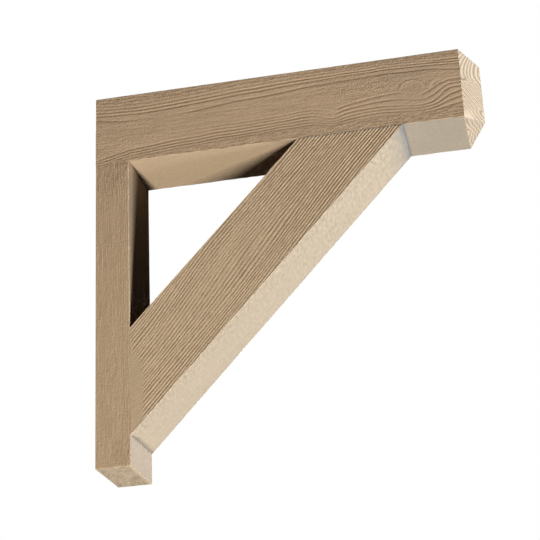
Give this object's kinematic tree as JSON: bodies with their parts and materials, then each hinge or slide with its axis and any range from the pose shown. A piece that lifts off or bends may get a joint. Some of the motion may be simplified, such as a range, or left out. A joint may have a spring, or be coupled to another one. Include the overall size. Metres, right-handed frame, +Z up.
{
  "type": "timber wall bracket",
  "caption": "Triangular timber wall bracket: a level beam with a bevelled nose on a short wall post, braced by a diagonal, to carry an overhang.",
  "frame": {"origin": "middle of the flat wall face, half way up and half way across", "axes": "+X out from the wall along the beam, +Y along the wall, +Z up"},
  "size_m": [0.8128, 0.1524, 0.8128],
  "materials": {
    "brushed_beam": "matt, brushed grain",
    "brushed_post": "matt, brushed grain",
    "brushed_brace": "matt, brushed grain"
  },
  "bodies": {
    "root": {"top_beam": "brushed_beam", "wall_post": "brushed_post", "diagonal_brace": "brushed_brace"}
  },
  "joints": []
}
